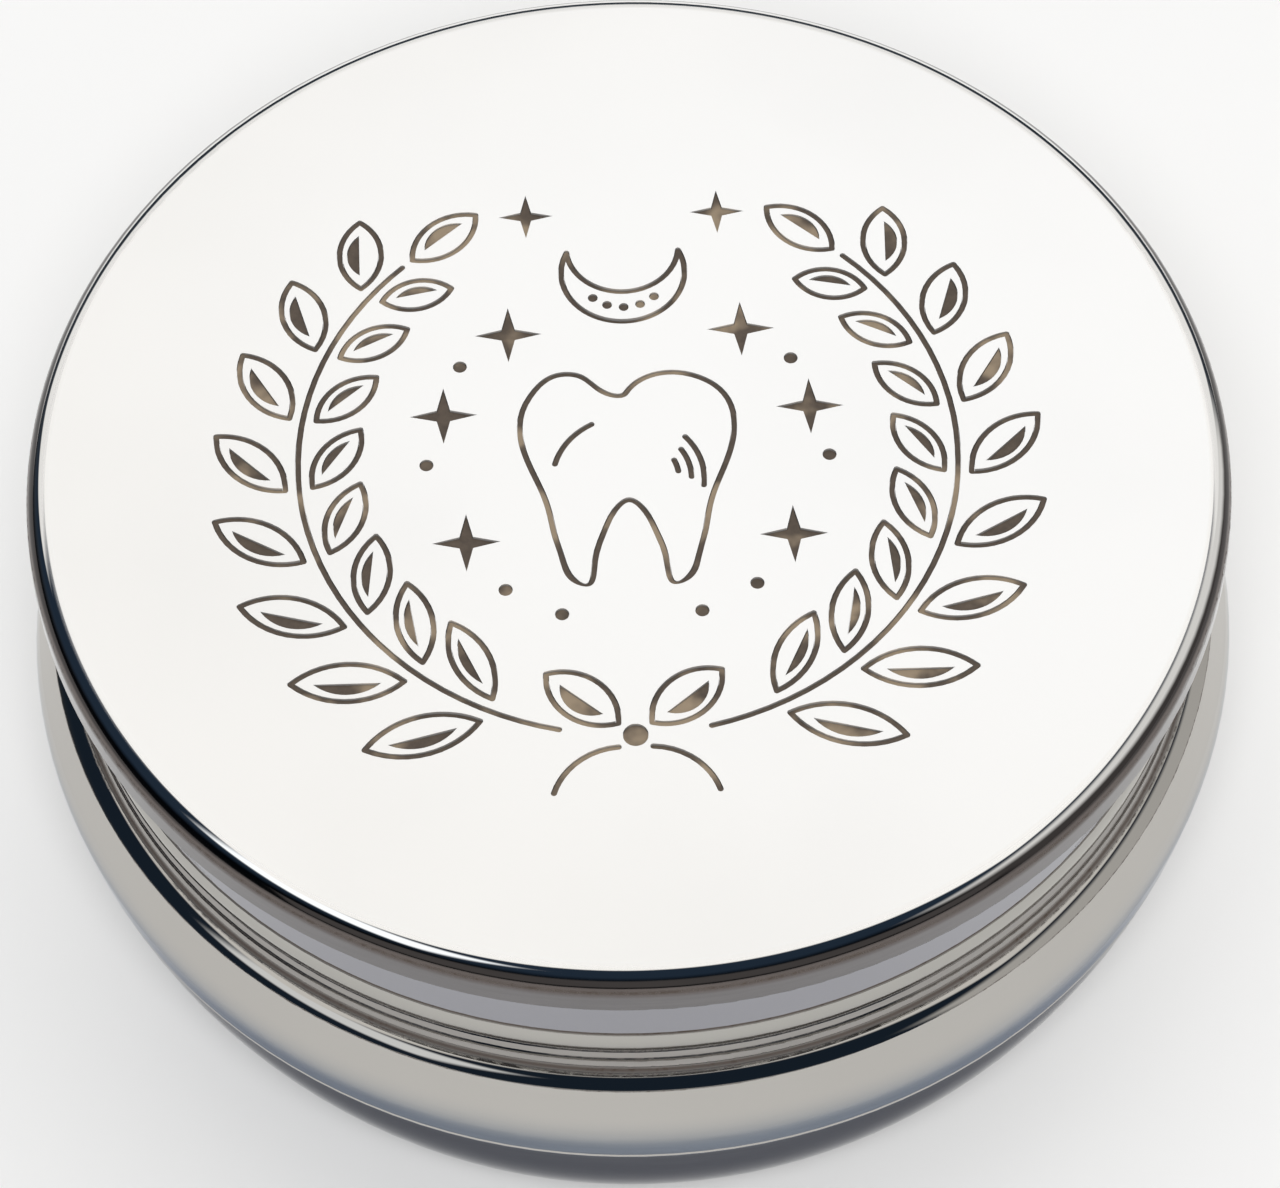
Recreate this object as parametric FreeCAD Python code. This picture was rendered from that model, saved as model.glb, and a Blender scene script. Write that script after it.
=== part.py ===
import FreeCAD, Part
import math
import os

os.makedirs("parts", exist_ok=True)

# Round plated metal box for a child's milk teeth, with an engraved lid that lifts straight off.
# Millimetres, +Z up, origin on the table under the middle of the base.
# Radii step outwards from the lid, and heights are stacked up from the table.

# Lid
lid_radius = 24.0
brim_side_height = 1.0
brim_round = 1.0
brim_edge_round = 0.15
brim_overhang = 1.23
dome_rise = 0.5
cap_wall = 1.3
skirt_height = 3.96
skirt_wall = 1.0
seam_break = 0.12

# Neck, from the seam down
neck_height = 2.49
neck_flare = 0.33
neck_waist_inset = 0.07
cove_height = 0.65
cove_depth = 0.08
band_height = 0.37
band_flare = 0.1
bead_swell = 0.18
neck_line_width = 0.14
neck_line_depth = 0.09

# Bowl
bowl_height = 13.45
bowl_wall = 1.2
shoulder_width = 0.63
shoulder_drop = 0.33
shoulder_crown = 0.05
belly_drop = 2.6
belly_swell = 0.85
belly_turn = 2.2
belly_under_deg = 8
bowl_curve = 27.0
belly_line_drop = 4.5
belly_line_width = 0.26
belly_line_depth = 0.05
foot_round = 1.2
floor_round = 0.8

# Inner collar that guides the lid
bezel_wall = 0.8
bezel_headroom = 0.5
bezel_lead = 0.3
lid_clearance = 0.1
solder_gap = 0.03

# Soft lining and base
felt_thickness = 0.6
felt_inset = 1.6
felt_edge_round = 0.2
card_thickness = 0.8
card_inset = 1.0
pad_clearance = 0.6
pad_side_height = 2.2
pad_crown = 1.2
pad_drawn_in = 0.8

# Engraving
stroke_width = 0.24
stroke_depth = 0.25
fill_thickness = 0.15
fill_clearance = 0.02
cut_overrun = 0.6

# Wreath of two leafy branches round the middle of the lid, tied at the front
stem_radius = 13.1
stem_start_deg = -77
stem_end_deg = 47
first_leaf_deg = -64
last_leaf_deg = 39
leaf_stations = 8
leaf_length = 4.6
leaf_tip_length = 3.4
leaf_width = 1.7
leaf_gap = 0.55
leaf_lean_deg = 40
inner_leaf_share = 0.84
shade_start_share = 0.2
shade_end_share = 0.8
shade_gap = 0.04
shade_inset = 0.3
bow_loop_length = 3.6
bow_loop_width = 1.9
bow_loop_rise_deg = 40
bow_tail_length = 3.2
bow_tail_bend = 0.5
bow_tail_fall_deg = 38
bow_knot_radius = 0.5
bow_gap = 0.85

# Tooth in the middle, as shares of its half width and half height
tooth_half_width = 4.3
tooth_half_height = 5.2
tooth_shift = -1.2
tooth_steps = 36
tooth_shares = [
    (0.0, 0.80), (0.46, 0.98), (0.90, 0.78), (0.96, 0.28), (0.76, -0.20),
    (0.62, -0.72), (0.44, -0.98), (0.30, -0.66), (0.0, -0.20),
]
glint_radius = 3.0
glint_start_deg = 118
glint_end_deg = 165
hatch_radius = 3.0
hatch_step = 0.5
hatch_lines = 3
hatch_start_deg = -8
hatch_end_deg = 40
hatch_trim_deg = 8

# Crescent over the tooth, and stars round it
crescent_radius = 2.5
crescent_offset = 9.0
crescent_bite_share = 0.4
crescent_dot_radius = 0.2
crescent_dot_ring_radius = 1.78
crescent_dot_degs = (226, 248, 270, 292, 314)
star_radius = 1.35
star_waist_share = 0.28
star_ring_radius = 7.6
star_degs = (16, 52, 128, 164, 212, 328)
high_star_radius = 1.1
high_star_ring_radius = 12.6
high_star_degs = (72, 108)
dot_radius = 0.28
dot_ring_radius = 8.0
dot_degs = (-2, 34, 146, 182, 232, 250, 290, 308)

# Radii that follow from the lid
skirt_radius = lid_radius - brim_overhang
skirt_bore_radius = skirt_radius - skirt_wall
bezel_radius = skirt_bore_radius - lid_clearance
bezel_bore_radius = bezel_radius - bezel_wall
mouth_radius = bezel_radius + solder_gap
neck_waist_radius = skirt_radius - neck_waist_inset
neck_foot_radius = skirt_radius + neck_flare
shoulder_radius = neck_foot_radius + shoulder_width
belly_radius = shoulder_radius + belly_swell

# Heights that follow from the stack
bowl_base_z = felt_thickness
floor_z = bowl_base_z + bowl_wall
pad_z = floor_z + card_thickness
ledge_z = bowl_base_z + bowl_height
mouth_z = ledge_z - bowl_wall
shoulder_z = ledge_z - shoulder_drop
belly_z = ledge_z - belly_drop
seam_z = ledge_z + neck_height
brim_z = seam_z + skirt_height
brim_top_z = brim_z + brim_side_height + brim_round
ceiling_z = brim_top_z - cap_wall
apex_z = brim_top_z + dome_rise

dome_edge_radius = lid_radius - brim_round
dome_curve = (dome_edge_radius ** 2 + dome_rise ** 2) / (2 * dome_rise)

ORIGIN = FreeCAD.Vector(0, 0, 0)
UP = FreeCAD.Vector(0, 0, 1)


def at(radius, height):
    return FreeCAD.Vector(radius, 0, height)


def polar(radius, degrees):
    angle = math.radians(degrees)
    return FreeCAD.Vector(radius * math.cos(angle), radius * math.sin(angle), 0)


def on_profile_circle(centre, radius, degrees):
    angle = math.radians(degrees)
    return centre + at(radius * math.cos(angle), radius * math.sin(angle))


def bulged(start, end, sag):
    """The middle point of an arc from start to end that swells to the left of the way by sag."""
    way = (end - start).normalize()
    middle = (start + end) * 0.5
    return middle + FreeCAD.Vector(-way.z, 0, way.x) * sag


def spun(start, *steps):
    """A solid turned about Z: each step is a point for a straight edge, or (via, end) for an arc."""
    edges = []
    here = start
    for step in steps + (start,):
        if isinstance(step, tuple):
            via, there = step
            edges.append(Part.Arc(here, via, there).toShape())
        else:
            there = step
            edges.append(Part.LineSegment(here, there).toShape())
        here = there
    return Part.Face(Part.Wire(edges)).revolve(ORIGIN, UP, 360)


def round_circle(solid, radius, height, size):
    """Rounds the circular edge of a turned solid that lies at this radius and height."""
    def miss(edge):
        place = edge.Vertexes[0].Point
        return abs(math.hypot(place.x, place.y) - radius) + abs(place.z - height)
    rims = [edge for edge in solid.Edges if edge.isClosed()]
    return solid.makeFillet(size, [min(rims, key=miss)])


def turned_line(radius, height, width, depth):
    """The three points of one fine V groove on an upright wall, from below to above."""
    half = width / 2
    return at(radius, height - half), at(radius - depth, height), at(radius, height + half)


def keep(name, shape):
    shape.exportStep("parts/" + name + ".step")


def bowl_solid():
    """A spun shell: it flares from the shoulder's edge, turns tightly at its widest and curves in below."""
    turn_centre = at(belly_radius - belly_turn, belly_z)
    lower_centre = on_profile_circle(turn_centre, belly_turn - bowl_curve, -belly_under_deg)
    inner_curve = bowl_curve - bowl_wall

    def lower_deg(height, curve):
        return math.degrees(math.asin((height - lower_centre.z) / curve))

    edge = at(shoulder_radius, shoulder_z)
    ledge = at(neck_foot_radius, ledge_z)
    reach = edge - turn_centre
    flare_deg = math.degrees(math.atan2(reach.z, reach.x) - math.acos(belly_turn / reach.Length))
    foot_deg = lower_deg(bowl_base_z, bowl_curve)
    floor_deg = lower_deg(floor_z, inner_curve)
    foot = on_profile_circle(lower_centre, bowl_curve, foot_deg)
    floor_edge = on_profile_circle(lower_centre, inner_curve, floor_deg)
    inner_top = on_profile_circle(lower_centre, inner_curve, -belly_under_deg)
    bowl = spun(
        at(0, bowl_base_z), foot,
        (on_profile_circle(lower_centre, bowl_curve, (foot_deg - belly_under_deg) / 2),
         on_profile_circle(turn_centre, belly_turn, -belly_under_deg)),
        (on_profile_circle(turn_centre, belly_turn, (flare_deg - belly_under_deg) / 2),
         on_profile_circle(turn_centre, belly_turn, flare_deg)),
        edge,
        (bulged(edge, ledge, -shoulder_crown), ledge),
        at(mouth_radius, ledge_z), at(mouth_radius, mouth_z), at(inner_top.x, mouth_z), inner_top,
        (on_profile_circle(lower_centre, inner_curve, (floor_deg - belly_under_deg) / 2), floor_edge),
        at(0, floor_z),
    )
    bowl = round_circle(bowl, foot.x, bowl_base_z, foot_round)
    bowl = round_circle(bowl, floor_edge.x, floor_z, floor_round)
    line_z = ledge_z - belly_line_drop
    line_radius = on_profile_circle(lower_centre, bowl_curve, lower_deg(line_z, bowl_curve)).x
    below, bottom, above = turned_line(line_radius, line_z, belly_line_width, belly_line_depth)
    outside = at(belly_radius + cut_overrun, line_z)
    return bowl.cut(spun(below, bottom, above, outside)), foot.x, floor_edge.x


def neck_collar_solid():
    cove_top_z = ledge_z + cove_height
    band_top_z = cove_top_z + band_height
    foot = at(neck_foot_radius, ledge_z)
    low_line = turned_line(neck_waist_radius + band_flare, cove_top_z, neck_line_width, neck_line_depth)
    high_line = turned_line(neck_waist_radius, band_top_z, neck_line_width, neck_line_depth)
    bead_end = at(skirt_radius, seam_z - seam_break)
    return spun(
        at(mouth_radius, ledge_z), foot,
        (bulged(foot, low_line[0], cove_depth), low_line[0]), low_line[1], low_line[2],
        high_line[0], high_line[1], high_line[2],
        (bulged(high_line[2], bead_end, -bead_swell), bead_end),
        at(skirt_radius - seam_break, seam_z), at(mouth_radius, seam_z),
    )


def bezel_solid():
    top_z = brim_z - bezel_headroom
    lead_centre = at(bezel_radius - bezel_lead, top_z - bezel_lead)
    return spun(
        at(bezel_bore_radius, mouth_z), at(bezel_radius, mouth_z), at(bezel_radius, top_z - bezel_lead),
        (on_profile_circle(lead_centre, bezel_lead, 45), at(bezel_radius - bezel_lead, top_z)),
        at(bezel_bore_radius, top_z),
    )


def lid_skirt_solid():
    return spun(
        at(skirt_bore_radius, seam_z), at(skirt_radius - seam_break, seam_z),
        at(skirt_radius, seam_z + seam_break), at(skirt_radius, brim_z), at(skirt_bore_radius, brim_z),
    )


# Lid top: a shallow dome with a rounded brim
def dome_z(radius):
    return apex_z - dome_curve + math.sqrt(dome_curve ** 2 - radius ** 2)


def lid_blank():
    side_top_z = brim_top_z - brim_round
    round_centre = at(dome_edge_radius, side_top_z)
    edge_centre = at(lid_radius - brim_edge_round, brim_z + brim_edge_round)
    half_dome_radius = dome_edge_radius / 2
    return spun(
        at(0, ceiling_z), at(skirt_bore_radius, ceiling_z), at(skirt_bore_radius, brim_z),
        at(edge_centre.x, brim_z),
        (on_profile_circle(edge_centre, brim_edge_round, -45), at(lid_radius, edge_centre.z)),
        at(lid_radius, side_top_z),
        (on_profile_circle(round_centre, brim_round, 45), at(dome_edge_radius, brim_top_z)),
        (at(half_dome_radius, dome_z(half_dome_radius)), at(0, apex_z)),
    )


# Engraved lines: each motif is the middle line of its stroke, drawn flat
def leaf_wire(length, width):
    """A pointed leaf from the origin along +X."""
    tip = FreeCAD.Vector(length, 0, 0)
    upper = FreeCAD.Vector(length / 2, width / 2, 0)
    lower = FreeCAD.Vector(length / 2, -width / 2, 0)
    return Part.Wire([Part.Arc(ORIGIN, upper, tip).toShape(), Part.Arc(tip, lower, ORIGIN).toShape()])


def leaf_shade_wire(length, width, ease):
    """The shaded half of a leaf: a flat segment beside its middle line, drawn in by this ease."""
    start = FreeCAD.Vector(length * shade_start_share, -shade_gap, 0)
    end = FreeCAD.Vector(length * shade_end_share, -shade_gap, 0)
    via = FreeCAD.Vector(length / 2, shade_inset - width / 2, 0)
    outline = Part.Wire([Part.Arc(start, via, end).toShape(), Part.LineSegment(end, start).toShape()])
    return outline.makeOffset2D(-ease) if ease else outline


def arc_wire(radius, start_deg, end_deg):
    middle_deg = (start_deg + end_deg) / 2
    curve = Part.Arc(polar(radius, start_deg), polar(radius, middle_deg), polar(radius, end_deg))
    return Part.Wire(curve.toShape())


def dot_wire(radius):
    return Part.Wire(Part.Circle(ORIGIN, UP, radius).toShape())


def star_wire(radius):
    """A star of four points."""
    waist = radius * star_waist_share
    corners = []
    for degrees in (0, 90, 180, 270):
        corners += [polar(radius, degrees), polar(waist, degrees + 45)]
    return Part.makePolygon(corners + corners[:1])


def crescent_wire(radius):
    """A moon that lies on its back, horns up."""
    left, right = polar(radius, 155), polar(radius, 25)
    bite = FreeCAD.Vector(0, -radius * crescent_bite_share, 0)
    outer = Part.Arc(left, polar(radius, 270), right)
    inner = Part.Arc(right, bite, left)
    return Part.Wire([outer.toShape(), inner.toShape()])


def tooth_outline():
    right = [FreeCAD.Vector(x * tooth_half_width, y * tooth_half_height, 0) for x, y in tooth_shares]
    left = [FreeCAD.Vector(-place.x, place.y, 0) for place in reversed(right[1:-1])]
    outline = Part.BSplineCurve()
    outline.interpolate(Points=right + left, PeriodicFlag=True)
    return outline


def beside(curve, distance):
    """The face inside a closed curve, after each point is moved sideways by this distance."""
    places = []
    for step in range(tooth_steps):
        along = curve.FirstParameter + (curve.LastParameter - curve.FirstParameter) * step / tooth_steps
        way = curve.tangent(along)[0]
        places.append(curve.value(along) + FreeCAD.Vector(-way.y, way.x, 0) * distance)
    moved = Part.BSplineCurve()
    moved.interpolate(Points=places, PeriodicFlag=True)
    return Part.Face(Part.Wire(moved.toShape()))


def tooth_face(width):
    outline = tooth_outline()
    ring = beside(outline, width / 2).cut(beside(outline, -width / 2))
    return ring.translated(FreeCAD.Vector(0, tooth_shift, 0))


def placed(wire, place, degrees=0):
    moved = wire.copy()
    moved.Placement = FreeCAD.Placement(place, FreeCAD.Rotation(UP, degrees))
    return moved


def mirrored(wire):
    return wire.mirror(ORIGIN, FreeCAD.Vector(1, 0, 0))


def leaves():
    """Base, heading, length and width of each leaf on the right-hand branch, and of its loop of the bow."""
    found = []
    for station in range(leaf_stations):
        along_share = station / (leaf_stations - 1)
        degrees = first_leaf_deg + (last_leaf_deg - first_leaf_deg) * along_share
        length = leaf_length + (leaf_tip_length - leaf_length) * along_share
        outer_base = polar(stem_radius + leaf_gap, degrees)
        inner_base = polar(stem_radius - leaf_gap, degrees)
        found.append((outer_base, degrees + 90 - leaf_lean_deg, length, leaf_width))
        inner_heading = degrees + 90 + leaf_lean_deg
        found.append((inner_base, inner_heading, length * inner_leaf_share, leaf_width * inner_leaf_share))
    tip_deg = stem_end_deg + math.degrees(leaf_gap / stem_radius)
    found.append((polar(stem_radius, tip_deg), tip_deg + 90, leaf_tip_length, leaf_width))
    loop_start = polar(stem_radius, -90) + polar(bow_gap, bow_loop_rise_deg)
    found.append((loop_start, bow_loop_rise_deg, bow_loop_length, bow_loop_width))
    return found


def bow_tail_wire():
    start = FreeCAD.Vector(bow_gap, 0, 0)
    end = FreeCAD.Vector(bow_gap + bow_tail_length, 0, 0)
    via = FreeCAD.Vector((start.x + end.x) / 2, bow_tail_bend, 0)
    tail = Part.Wire(Part.Arc(start, via, end).toShape())
    return placed(tail, polar(stem_radius, -90), -bow_tail_fall_deg)


def line_wires():
    """Every motif that is drawn as a line of even width, except the tooth's outline."""
    half = [arc_wire(stem_radius, stem_start_deg, stem_end_deg), bow_tail_wire()]
    half += [placed(leaf_wire(length, width), base, heading) for base, heading, length, width in leaves()]
    wires = half + [mirrored(wire) for wire in half]
    tooth_lines = [arc_wire(glint_radius, glint_start_deg, glint_end_deg)]
    for line in range(hatch_lines):
        trim_deg = line * hatch_trim_deg
        radius = hatch_radius - line * hatch_step
        tooth_lines.append(arc_wire(radius, hatch_start_deg + trim_deg, hatch_end_deg - trim_deg))
    wires += [placed(wire, FreeCAD.Vector(0, tooth_shift, 0)) for wire in tooth_lines]
    wires.append(placed(crescent_wire(crescent_radius), polar(crescent_offset, 90)))
    return wires


def full_wires(ease):
    """The outline of every motif that is cut out whole, drawn in by this ease."""
    half = [placed(leaf_shade_wire(length, width, ease), base, heading)
            for base, heading, length, width in leaves()]
    wires = half + [mirrored(wire) for wire in half]
    star_ease = ease / star_waist_share
    star, high_star = star_wire(star_radius - star_ease), star_wire(high_star_radius - star_ease)
    wires += [placed(star, polar(star_ring_radius, degrees)) for degrees in star_degs]
    wires += [placed(high_star, polar(high_star_ring_radius, degrees)) for degrees in high_star_degs]
    wires += [placed(dot_wire(dot_radius - ease), polar(dot_ring_radius, degrees)) for degrees in dot_degs]
    crescent_dot = dot_wire(crescent_dot_radius - ease)
    for degrees in crescent_dot_degs:
        centre = polar(crescent_offset, 90) + polar(crescent_dot_ring_radius, degrees)
        wires.append(placed(crescent_dot, centre))
    wires.append(placed(dot_wire(bow_knot_radius - ease), polar(stem_radius, -90)))
    return wires


def stroke_face(wire, width):
    """The face that a line of this width covers: a ring round a closed line, round ends on an open one."""
    outer = Part.Face(wire.makeOffset2D(width / 2))
    if not wire.isClosed():
        return outer
    return outer.cut(Part.Face(wire.makeOffset2D(-width / 2)))


def motif_faces(ease):
    width = stroke_width - 2 * ease
    faces = [stroke_face(wire, width) for wire in line_wires()]
    faces.append(tooth_face(width))
    return faces + [Part.Face(wire) for wire in full_wires(ease)]


def engraving():
    """The cutters for the grooves, each with a level floor, and the filling that lies in them."""
    cutters, fills = [], []
    for groove, fill in zip(motif_faces(0), motif_faces(fill_clearance)):
        heights = [dome_z(math.hypot(corner.X, corner.Y)) for corner in groove.Vertexes]
        floor = UP * (sum(heights) / len(heights) - stroke_depth)
        cutters.append(groove.translated(floor).extrude(UP * (stroke_depth + cut_overrun)))
        fills.append(fill.translated(floor).extrude(UP * fill_thickness))
    return cutters, fills


# Lining and base
def disc(radius, low_z, thickness):
    return Part.makeCylinder(radius, thickness, at(0, low_z))


def floor_pad_solid(floor_radius):
    """A round cushion that fills the floor of the bowl, crowned on top and drawn in at its sides."""
    rim_radius = floor_radius - pad_clearance
    pad_radius = rim_radius + pad_drawn_in
    side_top_z = pad_z + pad_side_height
    crown_curve = (rim_radius ** 2 + pad_crown ** 2) / (2 * pad_crown)
    half_radius = rim_radius / 2
    half_z = side_top_z + pad_crown - crown_curve + math.sqrt(crown_curve ** 2 - half_radius ** 2)
    return spun(
        at(0, pad_z), at(rim_radius, pad_z),
        (at(pad_radius, pad_z + pad_side_height / 2), at(rim_radius, side_top_z)),
        (at(half_radius, half_z), at(0, side_top_z + pad_crown)),
    )


bowl, foot_radius, floor_radius = bowl_solid()
cutters, fills = engraving()
felt_radius = foot_radius - felt_inset
felt = round_circle(disc(felt_radius, 0, felt_thickness), felt_radius, 0, felt_edge_round)

keep("bowl", bowl)
keep("neck_collar", neck_collar_solid())
keep("bezel_ring", bezel_solid())
keep("base_felt", felt)
keep("floor_card", disc(floor_radius - card_inset, floor_z, card_thickness))
keep("floor_pad", floor_pad_solid(floor_radius))
keep("lid_cap", lid_blank().cut(cutters))
keep("lid_skirt", lid_skirt_solid())
keep("engraving_infill", Part.makeCompound(fills))
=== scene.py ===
import math
from collections import namedtuple

import bmesh
import bpy
from mathutils import Matrix, Vector


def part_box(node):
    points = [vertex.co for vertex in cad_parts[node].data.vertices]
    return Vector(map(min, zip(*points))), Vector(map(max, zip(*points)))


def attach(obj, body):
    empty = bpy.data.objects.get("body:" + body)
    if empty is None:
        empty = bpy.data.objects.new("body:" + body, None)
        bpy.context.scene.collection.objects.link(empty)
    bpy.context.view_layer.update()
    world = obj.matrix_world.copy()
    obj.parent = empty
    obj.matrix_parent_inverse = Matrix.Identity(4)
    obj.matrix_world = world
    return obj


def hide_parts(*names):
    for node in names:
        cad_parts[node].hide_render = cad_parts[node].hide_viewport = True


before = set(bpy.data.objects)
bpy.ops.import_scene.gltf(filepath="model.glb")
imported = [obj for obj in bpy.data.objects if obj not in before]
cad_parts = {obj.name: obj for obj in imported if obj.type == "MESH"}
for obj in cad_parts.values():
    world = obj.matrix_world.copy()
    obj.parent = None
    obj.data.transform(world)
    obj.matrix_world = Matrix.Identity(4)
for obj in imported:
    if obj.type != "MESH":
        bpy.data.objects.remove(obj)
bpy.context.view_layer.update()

scene = bpy.context.scene
scene.view_settings.view_transform = "Standard"
MM = 0.001

# Sizes of the turned shapes, with the values and names that they have in the part's source
BRIM_SIDE_HEIGHT = 1.0 * MM
BRIM_ROUND = 1.0 * MM
SEAM_BREAK = 0.12 * MM
NECK_WAIST_INSET = 0.07 * MM
COVE_HEIGHT = 0.65 * MM
COVE_DEPTH = 0.08 * MM
BAND_HEIGHT = 0.37 * MM
BAND_FLARE = 0.1 * MM
BEAD_SWELL = 0.18 * MM
NECK_LINE_WIDTH = 0.14 * MM
SHOULDER_WIDTH = 0.63 * MM
SHOULDER_DROP = 0.33 * MM
SHOULDER_CROWN = 0.05 * MM
BELLY_LINE_DROP = 4.5 * MM
BEZEL_LEAD = 0.3 * MM

# Places on the box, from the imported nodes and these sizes
lid_low, lid_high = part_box("lid_cap")
skirt_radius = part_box("lid_skirt")[1].x
neck_low, neck_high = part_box("neck_collar")
bezel_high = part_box("bezel_ring")[1]
pad_low, pad_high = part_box("floor_pad")
felt_low, felt_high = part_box("base_felt")
lid_radius = lid_high.x
brim_side_z = lid_low.z + BRIM_SIDE_HEIGHT
seam_z = neck_high.z
ledge_z = neck_low.z
neck_foot_radius = neck_high.x
waist_radius = skirt_radius - NECK_WAIST_INSET
band_foot_radius = waist_radius + BAND_FLARE
low_line_z = ledge_z + COVE_HEIGHT
high_line_z = low_line_z + BAND_HEIGHT
shoulder_radius = neck_foot_radius + SHOULDER_WIDTH
shoulder_z = ledge_z - SHOULDER_DROP
belly_line_z = ledge_z - BELLY_LINE_DROP

# Sockets of a Mix node: its share, and by data type its first and second input and its output
MIX_SHARE = 0
MIX_SOCKETS = {"RGBA": (6, 7, 2), "VECTOR": (4, 5, 1)}


class Nodes:
    """Short names for building a node tree."""

    def __init__(self, tree):
        self.tree = tree
        tree.nodes.clear()

    def add(self, kind, inputs=None, **settings):
        node = self.tree.nodes.new(kind)
        for key, value in settings.items():
            setattr(node, key, value)
        for key, value in (inputs or {}).items():
            self.feed(node.inputs[key], value)
        return node

    def feed(self, socket, value):
        if isinstance(value, bpy.types.NodeSocket):
            self.tree.links.new(value, socket)
        else:
            socket.default_value = value

    def pair(self, kind, operation, first, second):
        """A node that works out one operation from two inputs."""
        node = self.add(kind, operation=operation)
        self.feed(node.inputs[0], first)
        self.feed(node.inputs[1], second)
        return node

    def math(self, operation, first, second=0.0):
        return self.pair("ShaderNodeMath", operation, first, second).outputs[0]

    def dot(self, vector, direction):
        return self.pair("ShaderNodeVectorMath", "DOT_PRODUCT", vector, direction).outputs["Value"]

    def away(self, value, middle):
        """How far value is from middle, above or below."""
        return self.math("ABSOLUTE", self.math("SUBTRACT", value, middle))

    def rise(self, value, low, high, start=0.0, end=1.0):
        """A smooth step from start to end as value goes from low to high."""
        ends = {"From Min": low, "From Max": high, "To Min": start, "To Max": end}
        node = self.add("ShaderNodeMapRange", {"Value": value, **ends}, interpolation_type="SMOOTHSTEP")
        return node.outputs["Result"]

    def mix(self, share, first, second, data_type="RGBA"):
        node = self.add("ShaderNodeMix", data_type=data_type)
        first_socket, second_socket, output = MIX_SOCKETS[data_type]
        for index, value in ((MIX_SHARE, share), (first_socket, first), (second_socket, second)):
            self.feed(node.inputs[index], value)
        return node.outputs[output]

    def noise(self, vector, scale=1.0, detail=3.0, roughness=0.5):
        settings = {"Vector": vector, "Scale": scale, "Detail": detail, "Roughness": roughness}
        return self.add("ShaderNodeTexNoise", settings).outputs["Fac"]

    def scaled(self, vector, scales):
        """The vector with its own scale along each axis."""
        return self.add("ShaderNodeMapping", {"Vector": vector, "Scale": scales}).outputs[0]


def rgb(red, green, blue):
    return (red, green, blue, 1.0)


def shaded(tone, share):
    """The tone at this share of its brightness."""
    return rgb(*(share * part for part in tone[:3]))


def new_material(name):
    """A material with an empty node tree, and the socket that gives places on the piece."""
    material = bpy.data.materials.new(name)
    material.use_nodes = True
    nodes = Nodes(material.node_tree)
    return material, nodes, nodes.add("ShaderNodeTexCoord").outputs["Object"]


def finish_material(nodes, shader, height=None, depth=0.0):
    """Joins the shader to the output, with a bump of this depth if there is a height."""
    if height:
        bump = nodes.add("ShaderNodeBump", {"Height": height, "Distance": depth})
        nodes.feed(shader.inputs["Normal"], bump.outputs[0])
    nodes.add("ShaderNodeOutputMaterial", {"Surface": shader.outputs[0]})


# Tones of the metal
LID_PLATE = rgb(0.90, 0.895, 0.885)
# Painted reflections on the brim: the line and edge tones paint dark reflections on its round, and the side
# tone is dull tarnish that also paints a darker reflection
BRIM_LINE = rgb(0.062, 0.056, 0.055)
BRIM_EDGE = rgb(0.15, 0.13, 0.122)
BRIM_SIDE = rgb(0.215, 0.207, 0.21)
# Painted shade: the skirt, neck and bowl tones are darker copies of the lid's plate, standing in for their
# dimmer reflections, and the skirt's blue tint paints a lavender reflection
SKIRT_SHADED_PLATE = rgb(0.345, 0.345, 0.375)
NECK_SHADED_PLATE = rgb(0.44, 0.43, 0.405)
# Painted shade: the lower part of the neck is darker
NECK_LOW = rgb(0.37, 0.355, 0.34)
BOWL_SHADED_PLATE = rgb(0.49, 0.475, 0.45)
# Painted shade: the lower belly and foot tones, with their tints at a glance, paint the dark reflection of
# a shadowed floor, darkest towards the silhouette
BOWL_LOW = rgb(0.37, 0.40, 0.44)
BOWL_LOW_GLANCE = rgb(0.46, 0.49, 0.55)
BOWL_FOOT = rgb(0.34, 0.345, 0.36)
BOWL_FOOT_GLANCE = rgb(0.30, 0.305, 0.33)
WHITE = rgb(1.0, 1.0, 1.0)
# Tarnish in the creases, also used as painted shade along the seam and the neck's foot
TARNISH_AND_SHADE = rgb(0.060, 0.042, 0.032)

# Polish: soft clouds in the tone, and wiping marks, which are rougher than the rest
CLOUD_SCALE = 60.0
CLOUD_SHADE = 0.965
WIPE_SCALES = (400.0, 60.0, 400.0)
POLISHED_ROUGHNESS = 0.03
WIPED_ROUGHNESS = 0.06
# Satin top of the lid: how metallic it is, where on the brim's round it is full, and how softly it starts
SATIN_METAL = 0.65
SATIN_BRIM_SHARE = 0.99
SATIN_EDGE = 0.06 * MM
satin_top_z = brim_side_z + SATIN_BRIM_SHARE * BRIM_ROUND

# Shade films on outward faces, which paint darker reflections, and on the brim's side also dull tarnish:
# tone, tone at a glancing look, full below one height and gone above the other
ShadeFilm = namedtuple("ShadeFilm", "tone glance full_below gone_above")
BRIM_SHADE_FILMS = [
    ShadeFilm(BRIM_LINE, WHITE, brim_side_z + 0.72 * BRIM_ROUND, brim_side_z + 0.84 * BRIM_ROUND),
    ShadeFilm(BRIM_EDGE, WHITE, brim_side_z + 0.44 * BRIM_ROUND, brim_side_z + 0.56 * BRIM_ROUND),
    ShadeFilm(BRIM_SIDE, WHITE, brim_side_z - 0.1 * BRIM_ROUND, brim_side_z + 0.3 * BRIM_ROUND),
]
NECK_SHADE_FILMS = [ShadeFilm(NECK_LOW, WHITE, seam_z - 0.85 * MM, seam_z - 0.6 * MM)]
BOWL_SHADE_FILMS = [
    ShadeFilm(BOWL_LOW, BOWL_LOW_GLANCE, ledge_z - 3.8 * MM, ledge_z - 1.4 * MM),
    ShadeFilm(BOWL_FOOT, BOWL_FOOT_GLANCE, belly_line_z - 0.4 * MM, belly_line_z + 0.4 * MM),
]
SHADE_FILM_STREAK_SCALES = (300.0, 300.0, 5000.0)
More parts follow.
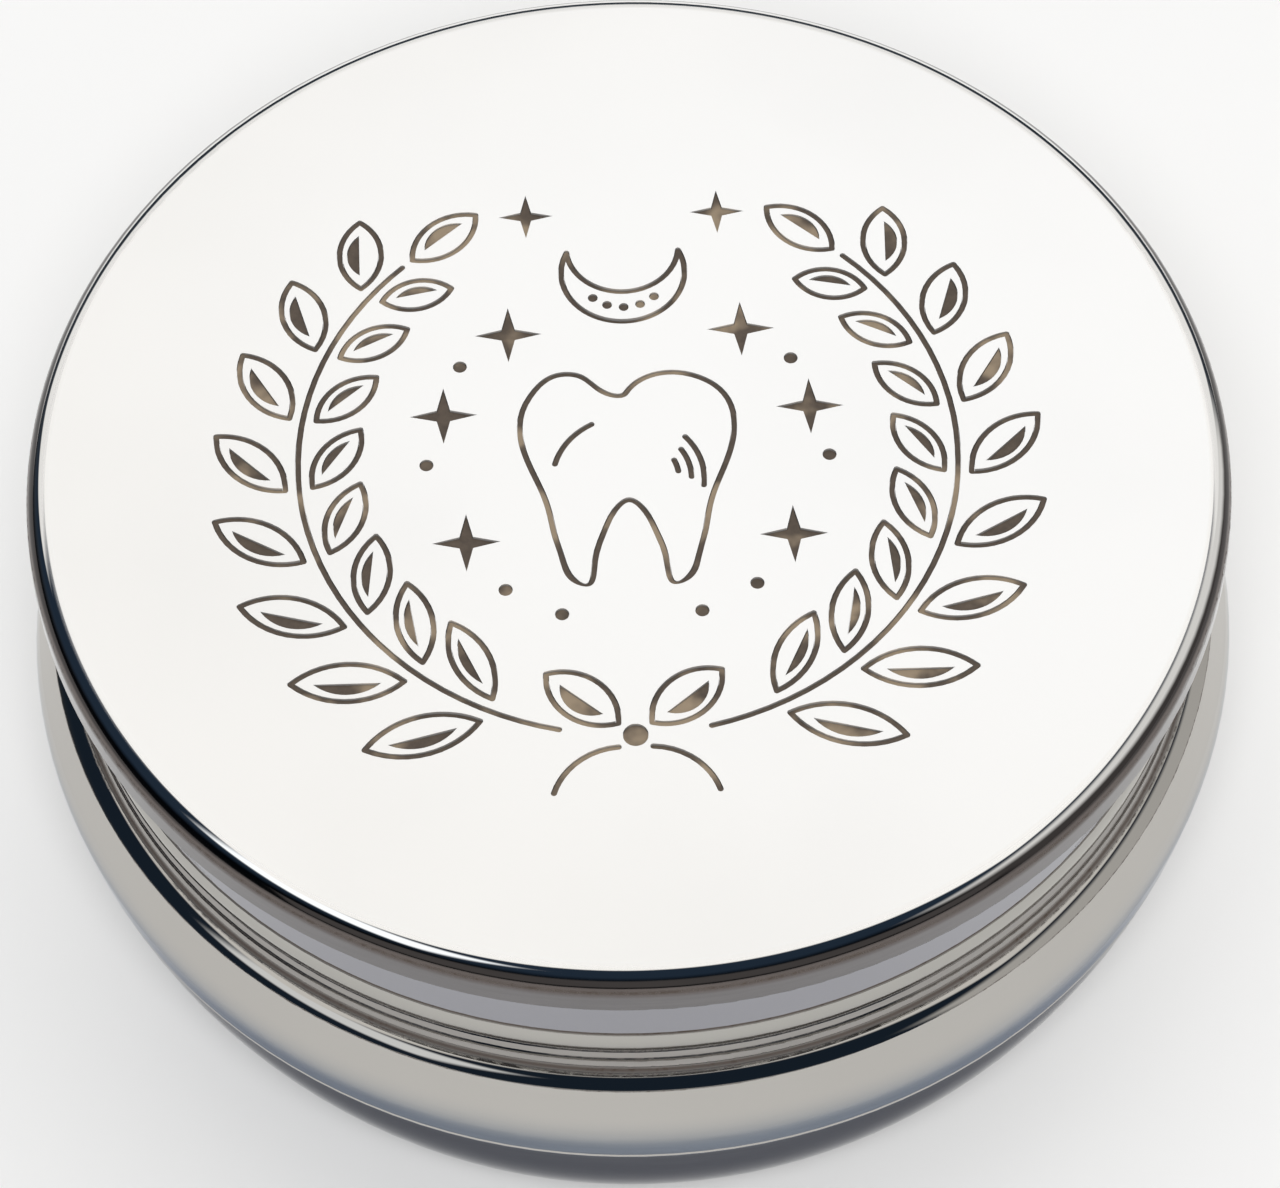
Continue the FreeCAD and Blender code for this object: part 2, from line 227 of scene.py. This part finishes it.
SHADE_FILM_STREAK_SHADE = 0.78
SHADE_FILM_ROUGHNESS = 0.09
# The shade films leave the belly's line bright within the first distance and cover it fully past the second
BARE_LINE_START = 0.08 * MM
BARE_LINE_END = 0.16 * MM

# Creases that hold tarnish specks, and painted shade all round the even ones at the seam and the neck's
# foot: height, how far it spreads above and below, and its least share all round
Crease = namedtuple("Crease", "z reach least")
# Least share of an even crease: painted shade all round its joint
JOINT_SHADE = 0.9
PATCHY = 0.0
SEAM_SHADE_REACH = 0.08 * MM
NECK_LINE_STAIN = 0.09 * MM
SHOULDER_STAIN = 0.03 * MM
BRIM_CREASES = [Crease(brim_side_z + 0.3 * BRIM_ROUND, 0.14 * MM, PATCHY)]
SKIRT_CREASES = [Crease(seam_z + SEAM_BREAK / 2, SEAM_SHADE_REACH, JOINT_SHADE)]
NECK_CREASES = [
    Crease(ledge_z + 0.1 * MM, 0.16 * MM, JOINT_SHADE),
    Crease(low_line_z, NECK_LINE_STAIN, PATCHY),
    Crease(high_line_z, NECK_LINE_STAIN, PATCHY),
    Crease(seam_z - SEAM_BREAK / 2, SEAM_SHADE_REACH, JOINT_SHADE),
]
BOWL_CREASES = [Crease(crease_z, SHOULDER_STAIN, PATCHY) for crease_z in (ledge_z, shoulder_z)]
SPECK_SCALE = 3600.0
SPECK_LEAST = 0.45
PATCH_SCALE = 150.0
TARNISH_AND_SHADE_ROUGHNESS = 0.6

# Turned arcs: both ends as radius and height, and how far the arc swells out or, below zero, in
Arc = namedtuple("Arc", "foot head swell")
QUARTER_SWELL = 1 - math.cos(math.pi / 4)
# The bezel's arc ends this far below the flat top, which keeps its own normal
FLAT_MARGIN = 0.00001 * MM


def quarter_arc(radius, foot_z, size):
    """A quarter round from an upright side to a level top."""
    return Arc((radius, foot_z), (radius - size, foot_z + size), QUARTER_SWELL * size)


LID_ARCS = [quarter_arc(lid_radius, brim_side_z, BRIM_ROUND)]
BEZEL_ARCS = [quarter_arc(bezel_high.x, bezel_high.z - BEZEL_LEAD - FLAT_MARGIN, BEZEL_LEAD)]
NECK_ARCS = [
    Arc((neck_foot_radius, ledge_z), (band_foot_radius, low_line_z - NECK_LINE_WIDTH / 2), -COVE_DEPTH),
    Arc((waist_radius, high_line_z + NECK_LINE_WIDTH / 2), (skirt_radius, seam_z - SEAM_BREAK), BEAD_SWELL),
]
BOWL_ARCS = [Arc((shoulder_radius, shoulder_z), (neck_foot_radius, ledge_z), SHOULDER_CROWN)]


def turned_normal(nodes, place, arcs):
    """The mesh's normal, and on these arcs the exact one, so that mirror images don't show the mesh."""
    x, y, z = nodes.add("ShaderNodeSeparateXYZ", {"Vector": place}).outputs
    squares = nodes.math("ADD", nodes.math("MULTIPLY", x, x), nodes.math("MULTIPLY", y, y))
    radius = nodes.math("SQRT", squares)
    normal = nodes.add("ShaderNodeNewGeometry").outputs["Normal"]
    for foot, head, swell in arcs:
        side = math.copysign(1, swell)
        chord = Vector(head) - Vector(foot)
        inwards = Vector((-chord.y, chord.x)).normalized()
        chord_middle = (Vector(foot) + Vector(head)) / 2
        arc_middle = chord_middle + inwards * (chord.length_squared / (8 * swell) - swell / 2)
        outwards = nodes.math("MULTIPLY", nodes.math("SUBTRACT", radius, arc_middle.x), side)
        upwards = nodes.math("MULTIPLY", nodes.math("SUBTRACT", z, arc_middle.y), side)
        lean = nodes.math("DIVIDE", outwards, radius)
        leaning = {"X": nodes.math("MULTIPLY", x, lean), "Y": nodes.math("MULTIPLY", y, lean), "Z": upwards}
        direction = nodes.add("ShaderNodeCombineXYZ", leaning).outputs[0]
        spaces = {"vector_type": "NORMAL", "convert_from": "OBJECT", "convert_to": "WORLD"}
        exact = nodes.add("ShaderNodeVectorTransform", {"Vector": direction}, **spaces).outputs[0]
        on_arc = 1.0
        for value, ends, slack in ((radius, (foot[0], head[0]), abs(swell)), (z, (foot[1], head[1]), 0.0)):
            above = nodes.math("GREATER_THAN", value, min(ends) - slack)
            below = nodes.math("LESS_THAN", value, max(ends) + slack)
            on_arc = nodes.math("MULTIPLY", nodes.math("MULTIPLY", above, below), on_arc)
        normal = nodes.mix(on_arc, normal, exact, "VECTOR")
    return normal


def facing_outwards(nodes, place):
    """One on faces that look away from the box's axis, and zero on the others."""
    level = nodes.pair("ShaderNodeVectorMath", "MULTIPLY", place, (1, 1, 0)).outputs[0]
    normal = nodes.add("ShaderNodeTexCoord").outputs["Normal"]
    return nodes.math("GREATER_THAN", nodes.dot(normal, level), 0.0)


def crease_tarnish_and_shade(nodes, place, height, creases):
    """How much tarnish and painted shade each place has: tarnish specks that lie in patches along the
    creases, and painted shade all round the even ones.
    """
    speck_noise = nodes.noise(place, SPECK_SCALE, roughness=0.6)
    speck = nodes.rise(speck_noise, low=0.46, high=0.60, start=SPECK_LEAST)
    patch = nodes.rise(nodes.noise(place, PATCH_SCALE, detail=2.0), low=0.34, high=0.52)
    dirt = nodes.math("MULTIPLY", speck, patch)
    tarnish_and_shade = 0.0
    for crease in creases:
        near = nodes.rise(nodes.away(height, crease.z), 0.0, crease.reach, 1.0, 0.0)
        tarnished_and_shaded = nodes.math("MULTIPLY", near, nodes.math("MAXIMUM", dirt, crease.least))
        tarnish_and_shade = nodes.math("MAXIMUM", tarnished_and_shaded, tarnish_and_shade)
    return tarnish_and_shade


def plate_material(name, bright, shade_films=(), creases=(), arcs=(), bare_line_z=None, satin_z=None):
    """Polished plate with faint wiping marks, shade films that paint darker reflections on its outside, and
    tarnish and painted shade in creases.

    No shade film lies on the bare line, and above satin_z a part of the light is scattered.
    """
    material, nodes, place = new_material(name)
    height = nodes.add("ShaderNodeSeparateXYZ", {"Vector": place}).outputs["Z"]
    cloud = nodes.rise(nodes.noise(place, CLOUD_SCALE), low=0.35, high=0.75)
    colour = nodes.mix(cloud, bright, shaded(bright, CLOUD_SHADE))
    wipe = nodes.noise(nodes.scaled(place, WIPE_SCALES), detail=5.0, roughness=0.6)
    roughness = nodes.rise(wipe, 0.35, 0.8, start=POLISHED_ROUGHNESS, end=WIPED_ROUGHNESS)
    metal = 1.0
    if satin_z:
        metal = nodes.rise(height, satin_z - SATIN_EDGE, satin_z, 1.0, SATIN_METAL)

    glance = WHITE
    streak = nodes.noise(nodes.scaled(place, SHADE_FILM_STREAK_SCALES))
    outside = facing_outwards(nodes, place)
    # Painted shade: each film darkens the outward faces below its heights
    for shade_film in shade_films:
        below = nodes.rise(height, shade_film.full_below, shade_film.gone_above, 1.0, 0.0)
        shade_cover = nodes.math("MULTIPLY", below, outside)
        if bare_line_z:
            beside_line = nodes.rise(nodes.away(height, bare_line_z), BARE_LINE_START, BARE_LINE_END)
            shade_cover = nodes.math("MULTIPLY", shade_cover, beside_line)
        shade_film_colour = nodes.mix(streak, shade_film.tone, shaded(shade_film.tone, SHADE_FILM_STREAK_SHADE))
        colour = nodes.mix(shade_cover, colour, shade_film_colour)
        glance = nodes.mix(shade_cover, glance, shade_film.glance)
        roughness = nodes.math("MAXIMUM", roughness, nodes.math("MULTIPLY", shade_cover, SHADE_FILM_ROUGHNESS))

    if creases:
        # Tarnish specks, and painted shade in the even creases, darken the plate
        tarnish_and_shade = crease_tarnish_and_shade(nodes, place, height, creases)
        colour = nodes.mix(tarnish_and_shade, colour, TARNISH_AND_SHADE)
        roughness = nodes.math("MAXIMUM", roughness, nodes.math("MULTIPLY", tarnish_and_shade, TARNISH_AND_SHADE_ROUGHNESS))
        metal = nodes.math("SUBTRACT", metal, tarnish_and_shade)

    surface = {"Base Color": colour, "Roughness": roughness, "Metallic": metal, "Specular Tint": glance}
    shader = nodes.add("ShaderNodeBsdfPrincipled", surface)
    nodes.feed(shader.inputs["Normal"], turned_normal(nodes, place, arcs))
    finish_material(nodes, shader)
    return material


# Oxide in the engraving
OXIDE_DARK = rgb(0.044, 0.033, 0.026)
OXIDE_BROWN = rgb(0.13, 0.098, 0.072)
OXIDE_RUBBED = rgb(0.31, 0.24, 0.165)
OXIDE_MOTTLE_SCALE = 2600.0
OXIDE_RUB_SCALE = 420.0
OXIDE_ROUGHNESS = 0.62
OXIDE_GRAIN = 0.03 * MM


def oxide_material():
    """The dark brown filling of the engraved lines, lighter where polishing has rubbed it."""
    material, nodes, place = new_material("engraving_oxide")
    mottle = nodes.noise(place, OXIDE_MOTTLE_SCALE, detail=4.0, roughness=0.6)
    rubbed = nodes.rise(nodes.noise(place, OXIDE_RUB_SCALE), low=0.48, high=0.66)
    colour = nodes.mix(rubbed, nodes.mix(mottle, OXIDE_DARK, OXIDE_BROWN), OXIDE_RUBBED)
    surface = {"Base Color": colour, "Roughness": OXIDE_ROUGHNESS}
    finish_material(nodes, nodes.add("ShaderNodeBsdfPrincipled", surface), mottle, OXIDE_GRAIN)
    return material


# Soft materials and card
VELVET_LOW = rgb(0.030, 0.045, 0.11)
VELVET_HIGH = rgb(0.06, 0.085, 0.18)
VELVET_FIBRE_SCALE = 2600.0
VELVET_SHEEN = 0.6
BAIZE_LOW = rgb(0.012, 0.014, 0.020)
BAIZE_HIGH = rgb(0.035, 0.038, 0.05)
BAIZE_FIBRE_SCALE = 2200.0
BAIZE_SHEEN = 0.2
FIBRES_PER_NAP = 18
FIBRE_LIGHT_SHARE = 0.5
FIBRE_DEPTH = 0.12 * MM
CARD_DARK = rgb(0.30, 0.25, 0.18)
CARD_LIGHT = rgb(0.55, 0.48, 0.38)
CARD_FLECK_SCALE = 900.0


def cloth_material(name, low, high, fibre_scale, sheen):
    """Short pile, with fibres that stand in two tones and a nap that is brushed in patches."""
    material, nodes, place = new_material(name)
    fibre = nodes.noise(place, fibre_scale, detail=5.0, roughness=0.7)
    nap = nodes.rise(nodes.noise(place, fibre_scale / FIBRES_PER_NAP), low=0.35, high=0.7)
    light = nodes.math("MULTIPLY", fibre, FIBRE_LIGHT_SHARE)
    colour = nodes.mix(light, nodes.mix(nap, low, high), high)
    surface = {"Base Color": colour, "Roughness": 0.9, "Sheen Weight": sheen, "Sheen Roughness": 0.45}
    finish_material(nodes, nodes.add("ShaderNodeBsdfPrincipled", surface), fibre, FIBRE_DEPTH)
    return material


def card_material():
    """Grey-brown board with fine flecks."""
    material, nodes, place = new_material("grey_board")
    flecks = nodes.noise(place, CARD_FLECK_SCALE, detail=6.0, roughness=0.75)
    surface = {"Base Color": nodes.mix(flecks, CARD_DARK, CARD_LIGHT), "Roughness": 0.9}
    finish_material(nodes, nodes.add("ShaderNodeBsdfPrincipled", surface))
    return material


def dress(node, material):
    """Puts the material on a node of the part."""
    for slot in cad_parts[node].material_slots:
        slot.material = material


def mesh_from(name, shape):
    """The shape as a mesh; the shape itself is used up."""
    mesh = bpy.data.meshes.new(name)
    shape.to_mesh(mesh)
    shape.free()
    return mesh


def add_piece(name, mesh, material):
    """A smooth piece in the scene."""
    for face in mesh.polygons:
        face.use_smooth = True
    mesh.materials.append(material)
    piece = bpy.data.objects.new(name, mesh)
    scene.collection.objects.link(piece)
    return piece


# Velvet pad: cells across, growth for the cloth, its slack size, the share that is flattened underneath,
# the sectors that its rim is evened in, and how near two points of the rim are joined
PAD_GRID = 44
PAD_GROWTH = 20
PAD_SLACK_SHARE = 0.94
PAD_START_SHARE = 0.55
PAD_BASE_SHARE = 0.3
PAD_SECTORS = 36
PAD_JOIN_SHARE = 1e-4
CLOTH_FRAMES = 20


def slack_pad_mesh(radius, height):
    """Two round sheets of cloth joined at the rim, laid out as a square grid that is drawn to a circle."""
    shape = bmesh.new()
    sheets = {}
    for side in (1, -1):
        sheets[side] = []
        for row in range(PAD_GRID + 1):
            for column in range(PAD_GRID + 1):
                across = 2 * column / PAD_GRID - 1
                along = 2 * row / PAD_GRID - 1
                x = across * math.sqrt(1 - along ** 2 / 2)
                y = along * math.sqrt(1 - across ** 2 / 2)
                crown = max(0.0, 1 - x ** 2 - y ** 2) ** 0.5
                sheets[side].append(shape.verts.new((x * radius, y * radius, side * crown * height / 2)))
    for side, sheet in sheets.items():
        for row in range(PAD_GRID):
            for column in range(PAD_GRID):
                first = row * (PAD_GRID + 1) + column
                corners = [first, first + 1, first + PAD_GRID + 2, first + PAD_GRID + 1]
                shape.faces.new([sheet[corner] for corner in corners[::side]])
    bmesh.ops.remove_doubles(shape, verts=shape.verts, dist=radius * PAD_JOIN_SHARE)
    return mesh_from("slack_pad", shape)


def swollen(mesh):
    """The mesh after Blender's cloth has filled it with air, away from the box."""
    holder = bpy.data.objects.new("swelling", mesh)
    scene.collection.objects.link(holder)
    cloth = holder.modifiers.new("cloth", "CLOTH")
    cloth.settings.use_pressure = True
    cloth.settings.uniform_pressure_force = 4.0
    cloth.settings.tension_stiffness = 20.0
    cloth.settings.compression_stiffness = 12.0
    cloth.settings.bending_stiffness = 0.6
    cloth.settings.effector_weights.gravity = 0.0
    cloth.point_cache.frame_end = CLOTH_FRAMES
    for step in range(1, CLOTH_FRAMES + 1):
        scene.frame_set(step)
    shaped = bpy.data.meshes.new_from_object(holder.evaluated_get(bpy.context.evaluated_depsgraph_get()))
    bpy.data.objects.remove(holder)
    scene.frame_set(1)
    return shaped


def sectors_round(place):
    """The direction of a place, counted in sectors of the pad."""
    return math.atan2(place.y, place.x) / math.tau * PAD_SECTORS


def fit_pad(mesh, radius, low_z, height):
    """Brings the swollen pad to this size, round and flat underneath."""
    rim = [0.0] * PAD_SECTORS
    for vert in mesh.vertices:
        sector = round(sectors_round(vert.co)) % PAD_SECTORS
        rim[sector] = max(rim[sector], vert.co.xy.length)
    top = max(vert.co.z for vert in mesh.vertices)
    bottom = min(vert.co.z for vert in mesh.vertices)
    base = bottom + (top - bottom) * PAD_BASE_SHARE
    for vert in mesh.vertices:
        level = max(0.0, (vert.co.z - base) / (top - base))
        turn = sectors_round(vert.co)
        before = math.floor(turn)
        past = turn - before
        reach = rim[before % PAD_SECTORS] * (1 - past) + rim[(before + 1) % PAD_SECTORS] * past
        spread = vert.co.xy * (radius / max(reach, vert.co.xy.length))
        vert.co = (spread.x, spread.y, low_z + level * height)


def velvet_pad():
    """The cushion in the bowl: swollen large, then brought to the size of its solid."""
    radius = pad_high.x
    height = pad_high.z - pad_low.z
    slack_radius = radius * PAD_GROWTH * PAD_SLACK_SHARE
    slack_height = height * PAD_GROWTH * PAD_START_SHARE
    mesh = swollen(slack_pad_mesh(slack_radius, slack_height))
    fit_pad(mesh, radius, pad_low.z, height)
    velvet = cloth_material("velvet", VELVET_LOW, VELVET_HIGH, VELVET_FIBRE_SCALE, VELVET_SHEEN)
    pad = add_piece("velvet_pad", mesh, velvet)
    pad.modifiers.new("smooth", "SUBSURF").render_levels = 1
    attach(pad, "base")
    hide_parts("floor_pad")


# Baize disc: its outline as shares of the radius and of the thickness, and how far each ring is drawn in
FELT_PROFILE = (
    (0.5, 1.0, 1.0),
    (1.0, 1.0, 0.5),
    (1.0, 0.8, 0.12),
    (1.0, 0.5, 0.0),
    (1.0, 0.2, 0.12),
    (1.0, 0.0, 0.5),
    (0.5, 0.0, 1.0),
)
FELT_SEGMENTS = 160
FELT_FRAY = 0.05 * MM
FELT_LONG_WAVES = 7
FELT_SHORT_WAVES = 23
FELT_WAVE_SHIFT = 1.0


def baize_disc():
    """The disc under the base: soft round edges, cut by hand and so not quite even."""
    radius = felt_high.x
    thickness = felt_high.z - felt_low.z
    edge = thickness / 2
    shape = bmesh.new()
    rings = []
    for out_share, up_share, inset_share in FELT_PROFILE:
        height = felt_low.z + up_share * thickness
        ring = []
        for segment in range(FELT_SEGMENTS):
            angle = math.tau * segment / FELT_SEGMENTS
            long_wave = math.sin(FELT_LONG_WAVES * angle)
            short_wave = math.sin(FELT_SHORT_WAVES * angle + FELT_WAVE_SHIFT)
            # Together the two waves cut the edge back by none to all of the fray
            fray = FELT_FRAY * (2 - long_wave - short_wave) / 4
            reach = out_share * (radius - inset_share * edge - fray)
            ring.append(shape.verts.new((reach * math.cos(angle), reach * math.sin(angle), height)))
        rings.append(ring)
    for upper, lower in zip(rings, rings[1:]):
        for segment in range(FELT_SEGMENTS):
            after = (segment + 1) % FELT_SEGMENTS
            shape.faces.new((upper[segment], lower[segment], lower[after], upper[after]))
    for ring, height in ((rings[0], felt_high.z), (rings[-1], felt_low.z)):
        middle = shape.verts.new((0, 0, height))
        for segment in range(FELT_SEGMENTS):
            shape.faces.new((middle, ring[segment], ring[(segment + 1) % FELT_SEGMENTS]))
    bmesh.ops.recalc_face_normals(shape, faces=shape.faces)
    baize = cloth_material("baize", BAIZE_LOW, BAIZE_HIGH, BAIZE_FIBRE_SCALE, BAIZE_SHEEN)
    felt = add_piece("baize_disc", mesh_from("baize_disc", shape), baize)
    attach(felt, "base")
    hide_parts("base_felt")


# Floor
TABLE_RADIUS = 4.0
TABLE_SEGMENTS = 64
TABLE_CLOUD_SCALE = 6.0
TABLE_LOW = rgb(0.925, 0.923, 0.918)
TABLE_HIGH = rgb(0.955, 0.953, 0.948)


def table_top():
    """The pale floor."""
    material, nodes, place = new_material("pale_table")
    colour = nodes.mix(nodes.noise(place, TABLE_CLOUD_SCALE), TABLE_LOW, TABLE_HIGH)
    finish_material(nodes, nodes.add("ShaderNodeBsdfDiffuse", {"Color": colour}))
    shape = bmesh.new()
    bmesh.ops.create_circle(shape, cap_ends=True, segments=TABLE_SEGMENTS, radius=TABLE_RADIUS)
    add_piece("table", mesh_from("table", shape), material)


def towards(azimuth_deg, elevation_deg):
    """Unit direction: azimuth 0 is behind the box, 90 to its right."""
    azimuth = math.radians(azimuth_deg)
    elevation = math.radians(elevation_deg)
    level = math.cos(elevation)
    return Vector((level * math.sin(azimuth), level * math.cos(azimuth), math.sin(elevation)))


# Softbox over the box, in multiples of its height above it: its edges, and the bright middle of its glow
SOFTBOX_LEFT = -0.56
SOFTBOX_RIGHT = 0.62
SOFTBOX_FRONT = -0.13
SOFTBOX_BACK = 1.15
SOFTBOX_SOFTNESS = 0.05
GLOW_ACROSS = 0.10
GLOW_ALONG = 0.76
GLOW_REACH = 0.33
SOFTBOX_MIDDLE = rgb(1.085, 1.085, 1.085)
SOFTBOX_RIM = rgb(1.01, 0.992, 0.962)
# Panels round the box: where each is, half its size as tangents, how soft its edge is, and its tone
Panel = namedtuple("Panel", "azimuth_deg elevation_deg half_width half_height softness tone")
PANELS = (
    Panel(-120, 56, 0.28, 0.18, 0.06, rgb(1.12, 1.15, 1.18)),
    Panel(88, 24, 0.74, 0.50, 0.13, rgb(0.68, 0.67, 0.65)),
    Panel(0, 37, 1.00, 0.30, 0.06, rgb(0.84, 0.83, 0.81)),
    Panel(180, 20, 1.35, 0.25, 0.06, rgb(0.84, 0.83, 0.81)),
)
ROOM_LOW = rgb(0.034, 0.040, 0.048)
ROOM_HIGH = rgb(0.014, 0.024, 0.040)
ROOM_TURN = 0.45
LEAST_DEPTH = 0.01


def studio_world():
    """A dim room with soft panels round the box and a softbox over it."""
    world = bpy.data.worlds.new("studio")
    world.use_nodes = True
    scene.world = world
    nodes = Nodes(world.node_tree)
    way = nodes.add("ShaderNodeTexCoord").outputs["Generated"]
    rising = nodes.dot(way, (0, 0, 1))
    colour = nodes.mix(nodes.rise(rising, 0.0, ROOM_TURN), ROOM_LOW, ROOM_HIGH)

    def within(offset, half, softness):
        return nodes.rise(nodes.math("ABSOLUTE", offset), half - softness, half + softness, 1.0, 0.0)

    for panel in PANELS:
        ahead = towards(panel.azimuth_deg, panel.elevation_deg)
        right = ahead.cross(Vector((0, 0, 1))).normalized()
        depth = nodes.math("MAXIMUM", nodes.dot(way, ahead), LEAST_DEPTH)
        across = nodes.math("DIVIDE", nodes.dot(way, right), depth)
        along = nodes.math("DIVIDE", nodes.dot(way, right.cross(ahead)), depth)
        in_width = within(across, panel.half_width, panel.softness)
        in_height = within(along, panel.half_height, panel.softness)
        colour = nodes.mix(nodes.math("MULTIPLY", in_width, in_height), colour, panel.tone)

    depth = nodes.math("MAXIMUM", rising, LEAST_DEPTH)
    lit = 1.0
    far = 0.0
    for axis, low, high, glow_middle in (((1, 0, 0), SOFTBOX_LEFT, SOFTBOX_RIGHT, GLOW_ACROSS),
                                         ((0, 1, 0), SOFTBOX_FRONT, SOFTBOX_BACK, GLOW_ALONG)):
        spot = nodes.math("DIVIDE", nodes.dot(way, axis), depth)
        offset = nodes.math("SUBTRACT", spot, (low + high) / 2)
        lit = nodes.math("MULTIPLY", within(offset, (high - low) / 2, SOFTBOX_SOFTNESS), lit)
        share = nodes.math("DIVIDE", nodes.math("SUBTRACT", spot, glow_middle), GLOW_REACH)
        far = nodes.math("ADD", nodes.math("MULTIPLY", share, share), far)
    glow = nodes.mix(nodes.rise(far, 0.0, 1.0), SOFTBOX_MIDDLE, SOFTBOX_RIM)
    background = nodes.add("ShaderNodeBackground", {"Color": nodes.mix(lit, colour, glow)})
    nodes.add("ShaderNodeOutputWorld", {"Surface": background.outputs[0]})


# Key light, from the front and above
KEY_AZIMUTH_DEG = 180
KEY_ELEVATION_DEG = 57
KEY_SPREAD_DEG = 26
KEY_STRENGTH = 1.82


def key_lamp():
    """A wide soft lamp that casts the shadow on the floor."""
    lamp = bpy.data.lights.new("key", "SUN")
    lamp.energy = KEY_STRENGTH
    lamp.angle = math.radians(KEY_SPREAD_DEG)
    holder = bpy.data.objects.new("key", lamp)
    direction = towards(KEY_AZIMUTH_DEG, KEY_ELEVATION_DEG)
    holder.rotation_euler = direction.to_track_quat("Z", "Y").to_euler()
    holder.visible_glossy = False
    scene.collection.objects.link(holder)


# Camera, as fitted to the rings of the lid and the bowl
IMAGE_WIDTH = 1280
IMAGE_HEIGHT = 1188
LID_CENTRE_PIXEL = (628.2, 467.5)
FOCAL_PIXELS = 6028
CAMERA_ELEVATION_DEG = 55.28
CAMERA_ROLL_DEG = 1.61
CAMERA_DISTANCE = 10 * lid_radius
LID_RING_DROP = 1.0 * MM
SENSOR_WIDTH = 36.0


def photo_camera():
    """Looks along the photograph's line of sight, with the lid's centre on its own pixel."""
    elevation = math.radians(CAMERA_ELEVATION_DEG)
    roll = math.radians(CAMERA_ROLL_DEG)
    target = Vector((0, 0, lid_high.z - LID_RING_DROP))
    sight = Vector((0, math.cos(elevation), -math.sin(elevation)))
    level = Vector((1, 0, 0))
    above = level.cross(sight)
    right = level * math.cos(roll) - above * math.sin(roll)
    up = level * math.sin(roll) + above * math.cos(roll)
    across = IMAGE_WIDTH / 2 - LID_CENTRE_PIXEL[0]
    down = IMAGE_HEIGHT / 2 - LID_CENTRE_PIXEL[1]
    ahead = (sight * FOCAL_PIXELS + right * across - up * down).normalized()
    right = ahead.cross(up).normalized()
    turn = Matrix((right, right.cross(ahead), -ahead)).transposed().to_4x4()
    camera = bpy.data.cameras.new("camera")
    camera.sensor_width = SENSOR_WIDTH
    camera.sensor_fit = "HORIZONTAL"
    camera.lens = FOCAL_PIXELS / IMAGE_WIDTH * SENSOR_WIDTH
    camera.clip_start = 0.01
    camera.clip_end = 20.0
    holder = bpy.data.objects.new("camera", camera)
    holder.matrix_world = Matrix.Translation(target - sight * CAMERA_DISTANCE) @ turn
    scene.collection.objects.link(holder)
    scene.camera = holder


table_top()
studio_world()
key_lamp()
photo_camera()

lid_plate = plate_material("lid_plate", LID_PLATE, BRIM_SHADE_FILMS, BRIM_CREASES, LID_ARCS, satin_z=satin_top_z)
bowl_shaded_plate = plate_material(
    "bowl_shaded_plate", BOWL_SHADED_PLATE, BOWL_SHADE_FILMS, BOWL_CREASES, BOWL_ARCS, bare_line_z=belly_line_z)
dress("lid_cap", lid_plate)
dress("lid_skirt", plate_material("skirt_shaded_plate", SKIRT_SHADED_PLATE, creases=SKIRT_CREASES))
dress("neck_collar", plate_material("neck_shaded_plate", NECK_SHADED_PLATE, NECK_SHADE_FILMS, NECK_CREASES, NECK_ARCS))
dress("bezel_ring", plate_material("bezel_shaded_plate", BOWL_SHADED_PLATE, arcs=BEZEL_ARCS))
dress("bowl", bowl_shaded_plate)
dress("engraving_infill", oxide_material())
dress("floor_card", card_material())
velvet_pad()
baize_disc()
